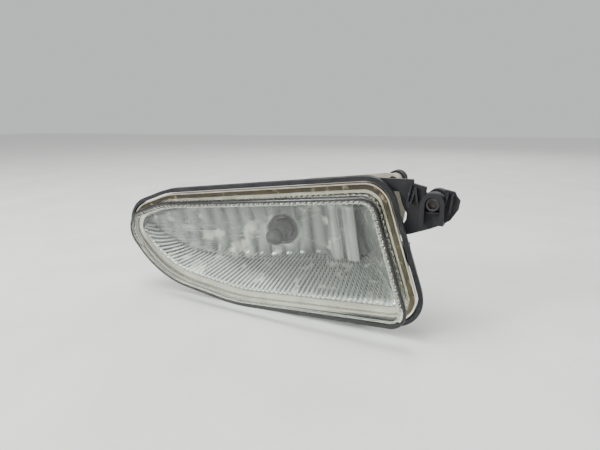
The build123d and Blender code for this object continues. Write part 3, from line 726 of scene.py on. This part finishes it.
@dataclass
class Lens:
    """Clear cup with ribbed inside, its black edge and its bond."""

    finishes: Finishes
    outline: Outline = field(default_factory=Outline)
    spacing: float = 0.45
    wall: float = 2.0
    corner: float = 1.0
    recess: float = 0.25         # lens face behind the front of the black edge
    rib_pitch: float = 3.6
    rib_height: float = 0.7
    rib_length: float = 9.0
    edge_depth: float = 3.0
    edge_heavier: float = 1.5    # how much wider the black line gets towards the right
    tooth_root: float = 1.7
    tooth_height: float = 1.1
    end_gap: float = 0.3         # rib ends inside the ribs
    end_sunk: float = 4.2        # rib ends behind the face
    sealant_width: float = 2.6

    def even_pitch(self) -> float:
        """Rib pitch that goes evenly round the outline, mm."""
        length = self.outline.length()
        return length / round(length / self.rib_pitch)

    def shell(self) -> bpy.types.Object:
        """Builds the clear cup: face, flared skirt with ribs inside, and foot.

        Returns:
            The finished piece.
        """
        stations = self.outline.stations(self.spacing)
        pitch = self.even_pitch()

        def corner_ring(inset: float, sunk: float) -> list[Vector]:
            """Ring near the front corner."""
            return [LAMP.point(*face_place(s, inset, sunk)) for s in stations]

        def ribbed(sunk: float) -> list[Vector]:
            """Ring of the inside with its ribs."""
            fade = 1.0 - smooth_step(self.rib_length * 0.5, self.rib_length, sunk)
            ring = []
            for s in stations:
                share = min(smooth_step(0.45, 0.75, s.out_v) + smooth_step(0.6, 0.9, s.out_u), 1.0)
                height = self.rib_height * fade * share * ripple(s.run, pitch)
                ring.append(LAMP.point(*face_place(s, self.wall + height, sunk)))
            return ring

        def skirt(grow: float, depth: float) -> list[Vector]:
            """Ring of the outline at one depth."""
            ring = []
            for s in stations:
                u, v = s.at(grow, depth)
                ring.append(LAMP.point(u, depth, v))
            return ring

        inner_face = self.wall + self.recess
        rings = [corner_ring(self.corner * 1.7, self.recess)]
        rings += [
            corner_ring(self.corner * (1 - math.sin(a)), self.recess + self.corner * (1 - math.cos(a)))
            for a in (0.0, 0.4, 0.8, 1.2, math.pi / 2)
        ]
        rings += [corner_ring(0.0, sunk) for sunk in (3.0, 6.0)]
        rings += [skirt(skirt_grow(-4.0), -4.0), skirt(FOOT_GROW, -0.1)]
        rings += [skirt(FOOT_GROW, FOOT_DEPTH - 0.2), skirt(FOOT_GROW - 0.2, FOOT_DEPTH)]
        rings += [skirt(FOOT_GROW - self.wall + 0.2, FOOT_DEPTH)]
        rings += [skirt(FOOT_GROW - self.wall, FOOT_DEPTH - 0.2)]
        rings += [ribbed(sunk) for sunk in (self.rib_length, 6.5, 4.5)]
        rings += [ribbed(inner_face + self.corner)]
        rings += [corner_ring(self.wall + self.corner * 0.9, inner_face + self.corner * 0.15)]
        rings += [corner_ring(self.wall + self.corner * 1.6, inner_face)]
        return dress(loft("lens_shell", rings, closed=False, caps=True), self.finishes.lens)

    def edge(self) -> bpy.types.Object:
        """Builds the black line, painted shade for the dark internal reflection at the lens's front corner:
        plain below and on the slender end, toothed above and at the right.

        Returns:
            The finished piece.
        """
        stations = self.outline.stations(self.spacing)
        pitch = self.even_pitch()
        lips = []
        for s in stations:
            teeth = min(smooth_step(0.45, 0.75, s.out_v) + smooth_step(0.7, 0.9, s.out_u), 1.0)
            heavy = 1.0 + self.edge_heavier * smooth_step(-105.0, 80.0, s.u)
            low = smooth_step(0.2, -0.3, s.out_v)
            plain = heavy * low + smooth_step(-0.3, 0.2, s.out_v)
            slim = smooth_step(0.5, 0.9, s.out_u)
            tooth = self.tooth_root - 0.7 * slim - (self.tooth_height - 0.4 * slim) * ripple(s.run, pitch)
            lips.append(plain * (1 - teeth) + teeth * tooth)

        def ring(inset: Callable[[int], float], sunk: float) -> list[Vector]:
            """Ring whose inset can change from station to station."""
            return [LAMP.point(*face_place(s, inset(k), sunk)) for k, s in enumerate(stations)]

        rings = [
            ring(lambda k: 0.01, self.edge_depth),
            ring(lambda k: -EDGE_BAND + 0.15, self.edge_depth),
            ring(lambda k: -EDGE_BAND, self.edge_depth - 0.15),
            ring(lambda k: -EDGE_BAND, 0.7),
            ring(lambda k: -EDGE_BAND + 0.25, 0.18),
            ring(lambda k: -EDGE_BAND + 0.8, 0.0),
            ring(lambda k: lips[k] - 0.1, 0.0),
            ring(lambda k: lips[k], 0.08),
            ring(lambda k: lips[k], self.recess - 0.01),
            ring(lambda k: 0.9, self.recess - 0.01),
            ring(lambda k: 0.25, self.recess + 0.2),
            ring(lambda k: 0.01, self.recess + self.corner),
        ]
        return dress(loft("edge_band", rings, closed=True), self.finishes.edge)

    def rib_ends(self) -> bpy.types.Object:
        """Builds the rounded ends of the ribs, just behind the face above and at the right.

        Returns:
            The finished piece.
        """
        pitch = self.even_pitch()
        path = []
        number = -1
        for s in self.outline.stations(self.spacing):
            if int(s.run / pitch - 0.5) != number:
                number = int(s.run / pitch - 0.5)
                if s.side() is not Side.BOTTOM:
                    inset = self.wall + self.rib_height + self.end_gap
                    path.append(LAMP.point(*face_place(s, inset, self.recess + self.end_sunk)))
        return beads("rib_ends", path, self.finishes.frosted, across=2.5, height=1.5, length=2.0)

    def bond(self) -> bpy.types.Object:
        """Builds the uneven bead of sealing compound in the channel.

        Returns:
            The finished piece.
        """
        stations = self.outline.stations(1.2)
        outer = FOOT_GROW + self.sealant_width - BOND_SHIFT / 2

        def ring(grow: float, depth: float, shift: float, swell: float) -> list[Vector]:
            """Ring of the bead, swollen unevenly."""
            found = []
            for s in stations:
                broad, fine = (noise.noise(Vector((s.u * f, s.v * f, grow))) for f in BEAD_WAVES)
                level = depth + swell * (broad + 0.5 * fine)
                u, v = s.at(grow, level, shift)
                found.append(LAMP.point(u, level, v))
            return found

        rings = [
            ring(outer - 0.02, FOOT_DEPTH - 0.02, BOND_SHIFT, 0.0),
            ring(outer - 0.02, 0.15, BOND_SHIFT, 0.22),
            ring(outer - 0.5, 0.0, BOND_SHIFT * 0.9, 0.25),
            ring((outer + FOOT_GROW) / 2, 0.25, BOND_SHIFT / 2, 0.3),
            ring(FOOT_GROW + 0.5, 0.1, BOND_SHIFT * 0.1, 0.25),
            ring(FOOT_GROW + 0.03, 0.1, 0.0, 0.2),
            ring(FOOT_GROW + 0.03, FOOT_DEPTH - 0.02, 0.0, 0.0),
        ]
        return dress(loft("sealant_bead", rings, closed=True), self.finishes.sealant)

    def build(self) -> None:
        """Builds and places the lens, its edge and its bond."""
        place(self.shell(), "lamp_unit", "clear_polycarbonate", "lens")
        place(self.rib_ends(), "lamp_unit", "clear_polycarbonate")
        place(self.edge(), "lamp_unit", "black_edge", "lens_edge_band")
        place(self.bond(), "lamp_unit", "tan_sealant", "lens_sealant")


@dataclass
class Reflector:
    """Bright coated inside of the moulded body."""

    finishes: Finishes
    outline: Outline = field(default_factory=Outline)
    spacing: float = 0.42
    pan_inset: float = 3.8
    pan_depth: float = 60.0
    end_scale: float = 0.62
    film: float = 0.25           # lining clear of the pan's wall
    thickness: float = 0.5
    rim_front: float = 0.2
    lip_back: float = REAR_WALL + 1.4
    dish: float = 6.0            # how far the rear wall comes forward at its edge
    floor_rise: float = 10.0     # how much further the floor rises than the pan, front to rear
    flute_pitch: float = 3.27
    flute_height: float = 1.6
    fan_x: float = 86.0          # the flutes fan out from this far along the lamp
    fan_length: float = 112.0    # the flutes meet this far above the front of the floor
    facet_edges: tuple[float, ...] = (35.5, 41.5, 47.0, 54.0)
    strip_pitch: float = 10.5    # upright strips of the rear wall
    strip_height: float = 0.8
    strip_lean: float = 0.12
    strip_fade: float = 0.12     # share of the wall over which the strips run out
    side_rows: int = 14
    rear_rows: int = 24
    facet_front: float = REAR_WALL - 7.5
    facet_step: float = 1.4      # each facet in front of the one before
    facet_slope: float = 1.6     # how far a facet leans forward over its width
    facet_bulge: Pair = (-1.3, 1.1)
    facet_wall: float = 1.2
    facet_cells: tuple[int, int] = (9, 25)
    facet_low: float = -26.0
    facet_high: float = 22.0
    facet_lean: float = 0.15

    def wall_point(self, station: Station, y: float, extra: float) -> Triple:
        """Point of the side wall on a plane square to the optical axis.

        Args:
            station: Place round the outline.
            y: Distance behind the flange origin along the optical axis, mm.
            extra: Distance further inside, mm.

        Returns:
            Distances from the flange origin along the row's axes, mm.
        """
        depth = max(y, self.rim_front)
        u = v = 0.0
        for _ in range(12):
            u, v = self.at_depth(station, depth, extra)
            depth = max((y + u * math.sin(FLANGE_SWEEP)) / math.cos(FLANGE_SWEEP), self.rim_front)
        u, v = self.at_depth(station, depth, extra)
        return self.turned(u, depth, v)

    def at_depth(self, station: Station, depth: float, extra: float) -> Pair:
        """Flange u and v of the side wall at a depth behind the flange."""
        share = max(depth - FOOT_DEPTH, 0.0) / (self.pan_depth - FOOT_DEPTH)
        scale = 1.0 - (1.0 - self.end_scale) * share
        grow = -self.pan_inset * (1.0 - share) - self.film - extra
        return station.at(grow, depth, 0.0, scale)

    @staticmethod
    def turned(u: float, d: float, v: float) -> Triple:
        """Flange coordinates as distances along the row's axes, mm."""
        cos, sin = math.cos(FLANGE_SWEEP), math.sin(FLANGE_SWEEP)
        return u * cos + d * sin, d * cos - u * sin, v

    def fluted(self, station: Station, point: Triple, amount: float) -> Vector:
        """Point of the lining, raised where it is part of the floor and its flutes.

        Args:
            station: Place round the outline.
            point: Distances from the flange origin, mm.
            amount: Share of the full rise and flute height.

        Returns:
            The place in the row frame, metres.
        """
        low = smooth_step(-0.15, -0.6, station.out_v)
        front = self.turned(*self.with_depth(station))
        share = max(point[1] - front[1], 0.0) / (REAR_WALL - self.dish - front[1])
        rise = self.floor_rise * low * min(share, 1.0) * amount
        climb = (point[2] + rise - front[2]) / self.fan_length
        track = (point[0] - self.fan_x * climb) / (1.0 - climb)
        lift = self.flute_height * amount * low * ripple(track, self.flute_pitch)
        return LAMP.on_axis(point[0], point[1], point[2] + rise + lift)

    def lining(self) -> bpy.types.Object:
        """Builds the bright lining: rim, fluted floor, walls, dished rear wall and bulb hole.

        Returns:
            The finished piece.
        """
        stations = self.outline.stations(self.spacing)
        edge_y = REAR_WALL - self.film - self.thickness - self.dish
        rings: list[list[Vector]] = []
        for step in range(self.side_rows + 1):
            share = step / self.side_rows
            ring = []
            for s in stations:
                first = self.turned(*self.with_depth(s))
                y = first[1] + (edge_y - first[1]) * share
                point = first if step == 0 else self.wall_point(s, y, self.thickness)
                ring.append(self.fluted(s, point, 1.0))
            rings.append(ring)
        corner = [self.wall_point(s, edge_y, self.thickness) for s in stations]
        hole = BULB_HOLE + 0.2
        for step in range(1, self.rear_rows + 1):
            share = step / self.rear_rows
            ring = []
            for s, point in zip(stations, corner):
                angle = math.atan2(point[2], point[0])
                x = point[0] + (hole * math.cos(angle) - point[0]) * share
                z = point[2] + (hole * math.sin(angle) - point[2]) * share
                y = edge_y + self.dish * (1.0 - (1.0 - share) ** 2)
                fade = smooth_step(0.0, self.strip_fade, share)
                fade *= smooth_step(1.0, 1.0 - self.strip_fade, share)
                y -= self.strip_height * fade * ripple(x + self.strip_lean * z, self.strip_pitch)
                ring.append(self.fluted(s, (x, y, z), (1.0 - share) ** 2))
            rings.append(ring)
        lip = []
        for ring_point in rings[-1]:
            offset = ring_point - LAMP.origin
            angle = math.atan2(offset.z, offset.x)
            inner = BULB_HOLE - self.film
            lip.append(LAMP.on_axis(inner * math.cos(angle), self.lip_back, inner * math.sin(angle)))
        rings.append(lip)
        piece = loft("reflector_lining", rings, closed=False)
        thick = piece.modifiers.new("wall", "SOLIDIFY")
        thick.thickness = self.thickness * 0.4 * MM
        thick.offset = 0.0
        return dress(settle(piece), self.finishes.mirror)

    def flute_ends(self) -> bpy.types.Object:
        """Builds the rounded front ends of the flutes, in a brighter copy of the coating that paints on
        their highlights.

        Returns:
            The finished piece.
        """
        path = []
        number = None
        for s in self.outline.stations(self.spacing):
            front = self.turned(*self.with_depth(s))
            flute = math.floor(front[0] / self.flute_pitch)
            if s.out_v < -0.45 and flute != number:
                path.append(LAMP.on_axis((flute + 0.5) * self.flute_pitch, front[1] + 0.6, front[2] + 1.0))
            number = flute
        return beads("flute_ends", path, self.finishes.mirror_highlight, across=2.7, height=1.6, length=2.0)

    def with_depth(self, station: Station) -> Triple:
        """Front edge of the lining in flange coordinates."""
        u, v = self.at_depth(station, self.rim_front, self.thickness)
        return u, self.rim_front, v

    def facets(self) -> bpy.types.Object:
        """Builds the stepped upright facets beside the rear wall's middle.

        Returns:
            The finished piece.
        """
        vertices: list[Vector] = []
        faces = []
        across, up = self.facet_cells
        for number, (left, right) in enumerate(zip(self.facet_edges, self.facet_edges[1:])):
            base = len(vertices)
            for row in range(up + 1):
                height = self.facet_low + (self.facet_high - self.facet_low) * row / up
                lean = -self.facet_lean * height
                for col in range(across + 1):
                    share = col / across
                    bulge = math.sin(math.pi * share) * self.facet_bulge[number % 2]
                    y = self.facet_front - self.facet_step * number - self.facet_slope * share + bulge
                    vertices.append(LAMP.on_axis(left + (right - left) * share + lean, y, height))
            for row in range(up):
                for col in range(across):
                    a = base + row * (across + 1) + col
                    faces.append((a, a + 1, a + across + 2, a + across + 1))
        mesh = bpy.data.meshes.new("reflector_facets")
        mesh.from_pydata([tuple(v) for v in vertices], [], faces)
        mesh.polygons.foreach_set("use_smooth", [True] * len(faces))
        piece = link("reflector_facets", mesh)
        thick = piece.modifiers.new("wall", "SOLIDIFY")
        thick.thickness = self.facet_wall * MM
        thick.offset = 0.0
        return dress(settle(piece), self.finishes.mirror)

    def build(self) -> None:
        """Builds and places the lining, its facets and the ends of its flutes."""
        place(self.lining(), "lamp_unit", "metallised_moulding")
        place(self.flute_ends(), "lamp_unit", "metallised_moulding")
        place(self.facets(), "lamp_unit", "metallised_moulding")


@dataclass
class Carrier:
    """Black carrier moulding with softened edges."""

    finishes: Finishes
    edge_radius: float = 0.35

    def build(self) -> None:
        """Copies the carrier, softens its edges and dresses it."""
        source = frame["nodes"]["carrier_frame"]
        mesh = source.data.copy()
        mesh.name = "carrier_moulding"
        work = bmesh.new()
        work.from_mesh(mesh)
        bmesh.ops.remove_doubles(work, verts=work.verts, dist=0.00001)
        bmesh.ops.dissolve_limit(work, angle_limit=math.radians(1.0), verts=work.verts, edges=work.edges)
        work.to_mesh(mesh)
        work.free()
        piece = link("carrier_moulding", mesh)
        soft = piece.modifiers.new("edges", "BEVEL")
        soft.width = self.edge_radius * MM
        soft.segments = 2
        soft.limit_method = "ANGLE"
        soft.angle_limit = math.radians(38.0)
        soft.use_clamp_overlap = True
        soft.harden_normals = True
        settle(piece)
        place(dress(piece, self.finishes.nylon_black), "carrier", "black_nylon", "carrier_frame")


@dataclass
class Bulb:
    """Coiled filament of the bulb; the rest of the bulb is dressed as it is."""

    finishes: Finishes
    turns: float = 11.0
    wire: float = 0.12

    def build(self) -> None:
        """Builds and places the filament."""
        low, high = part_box("filament")
        radius = (high.x - low.x) / 2 / MM - self.wire
        start = Vector(((low.x + high.x) / 2, low.y + self.wire * MM, (low.z + high.z) / 2))
        length = (high.y - low.y) / MM - 2 * self.wire
        coil = helix(
            "filament_coil", start, Vector((0.0, 1.0, 0.0)), self.finishes.tungsten,
            radius, self.wire, length, self.turns,
        )
        place(coil, "bulb", "tungsten", "filament")


def dress_nodes(finishes: Finishes) -> None:
    """Gives every CAD node that stays in view its finish.

    Args:
        finishes: The lamp's finishes.
    """
    choice = {
        "reflector": finishes.moulding,
        "pivot_bush_left": finishes.nylon_white,
        "pivot_bush_right": finishes.nylon_white,
        "adjuster_bush": finishes.nylon_black,
        "ball_socket": finishes.nylon_black,
        "adjuster_screw": finishes.screw,
        "screw_retainer": finishes.zinc,
        "pivot_pin_left": finishes.zinc,
        "pivot_pin_right": finishes.zinc,
        "ball_nut": finishes.brass,
        "bulb_terminals": finishes.brass,
        "vent_cap": finishes.rubber,
        "bulb_seal": finishes.rubber,
        "bulb_base": finishes.nylon_grey,
        "bulb_collar": finishes.nickel,
        "bulb_capsule": finishes.bulb_glass,
        "bulb_tip_coat": finishes.tip,
        "filament_leads": finishes.tungsten,
    }
    for name, material in choice.items():
        dress(frame["nodes"][name], material)


@dataclass
class Studio:
    """Plain pale table, soft light and the camera."""

    finishes: Finishes
    eye: Triple = (85.3, -266.2, 77.0)       # camera from the flange origin, mm
    yaw: float = 13.73                       # degrees
    pitch: float = 13.37
    lens: float = 27.0
    reach: float = 3.0                       # half size of the table, m
    aim_height: float = 0.04                 # where the lamps point, m above the table

    def build(self) -> None:
        """Builds the table, the light and the camera."""
        self.table()
        self.light()
        self.camera()

    def table(self) -> None:
        """Builds the table top."""
        mesh = bpy.data.meshes.new("table_top")
        r = self.reach
        mesh.from_pydata([(-r, -r, 0.0), (r, -r, 0.0), (r, r, 0.0), (-r, r, 0.0)], [], [(0, 1, 2, 3)])
        top = dress(link("table_top", mesh), self.finishes.table)

    def light(self) -> None:
        """Sets a pale surround and three soft lamps."""
        world = bpy.data.worlds.new("surround")
        world.use_nodes = True
        sky = world.node_tree.nodes["Background"]
        sky.inputs["Color"].default_value = colour("E9ECEB")
        sky.inputs["Strength"].default_value = 0.8
        bpy.context.scene.world = world
        for name, spot, size, watts in (
            ("overhead_lamp", (-0.25, -0.15, 1.1), 0.7, 14.0),
            ("front_lamp", (-0.9, -0.8, 0.6), 0.3, 14.0),
            ("rear_lamp", (0.2, 1.2, 0.9), 0.8, 5.0),
        ):
            data = bpy.data.lights.new(name, "AREA")
            data.size = size
            data.energy = watts
            lamp = bpy.data.objects.new(name, data)
            lamp.location = spot
            aim = Vector((0.0, 0.0, self.aim_height)) - Vector(spot)
            lamp.rotation_euler = aim.to_track_quat("-Z", "Y").to_euler()
            bpy.context.scene.collection.objects.link(lamp)

    def camera(self) -> None:
        """Sets the camera."""
        data = bpy.data.cameras.new("camera")
        data.lens = self.lens
        data.sensor_width = 36.0
        data.clip_start = 0.01
        eye = bpy.data.objects.new("camera", data)
        eye.location = LAMP.on_axis(*self.eye)
        eye.rotation_euler = (math.radians(90.0 - self.pitch), 0.0, math.radians(self.yaw))
        bpy.context.scene.collection.objects.link(eye)
        bpy.context.scene.camera = eye


def main() -> None:
    """Builds the lamp's looks in order."""
    logging.basicConfig(level=logging.INFO, format="%(message)s")
    finishes = Finishes()
    Studio(finishes).build()
    dress_nodes(finishes)
    Lens(finishes).build()
    Reflector(finishes).build()
    Carrier(finishes).build()
    Bulb(finishes).build()


if __name__ == "__main__":
    main()
